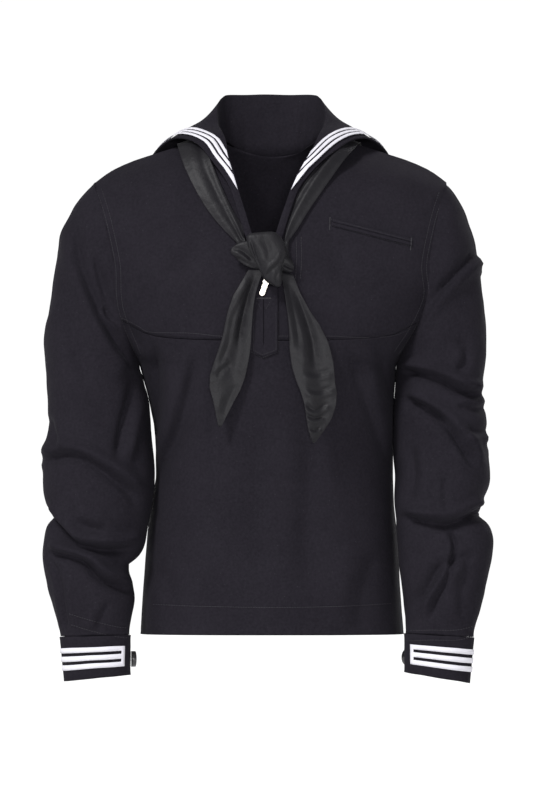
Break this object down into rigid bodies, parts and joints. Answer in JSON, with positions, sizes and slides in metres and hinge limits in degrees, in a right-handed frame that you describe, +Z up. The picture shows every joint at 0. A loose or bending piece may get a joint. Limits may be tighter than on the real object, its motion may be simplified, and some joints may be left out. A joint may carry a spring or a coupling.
{
  "type": "sailor jumper",
  "caption": "Dark wool pullover sailor jumper in its worn shape, with square striped collar, knotted neckerchief, welt pocket and striped cuffs.",
  "frame": {"origin": "middle of the neck base, level with the back neck seam, where the wearer's shoulders carry the garment", "axes": "+Z up, the front faces -Y, +X is towards the wearer's left sleeve"},
  "size_m": [0.5691, 0.27, 0.7389],
  "materials": {
    "wool": "napped wool serge",
    "silk": "soft satin",
    "tape": "woven tape",
    "button": "polished",
    "zip_metal": "satin nickel"
  },
  "bodies": {
    "jumper": {"front_body": "wool", "front_yoke_right": "wool", "front_yoke_left": "wool", "back_body": "wool", "sleeve_right": "wool", "sleeve_left": "wool", "cuff_right": "wool", "cuff_left": "wool", "collar": "wool", "front_placket": "wool", "pocket_jet_upper": "wool", "pocket_jet_lower": "wool", "cuff_tape_right": "tape", "cuff_tape_left": "tape", "collar_stripe_outer": "tape", "collar_stripe_middle": "tape", "collar_stripe_inner": "tape", "neckerchief_right": "silk", "neckerchief_left": "silk", "knot_wrap": "silk", "knot_loops": "silk", "tail_right": "silk", "tail_left": "silk", "button_right": "button", "button_left": "button", "zip_slider": "zip_metal"},
    "zip_tab": {"zip_pull": "zip_metal"}
  },
  "joints": [
    {"name": "zip_tab_hinge", "type": "hinge", "parent": "jumper", "child": "zip_tab", "pos_m": [-0.00521, -0.1188, -0.15257], "axis": [-0.9455, 0, 0.3256], "range_deg": [0, 45]}
  ]
}
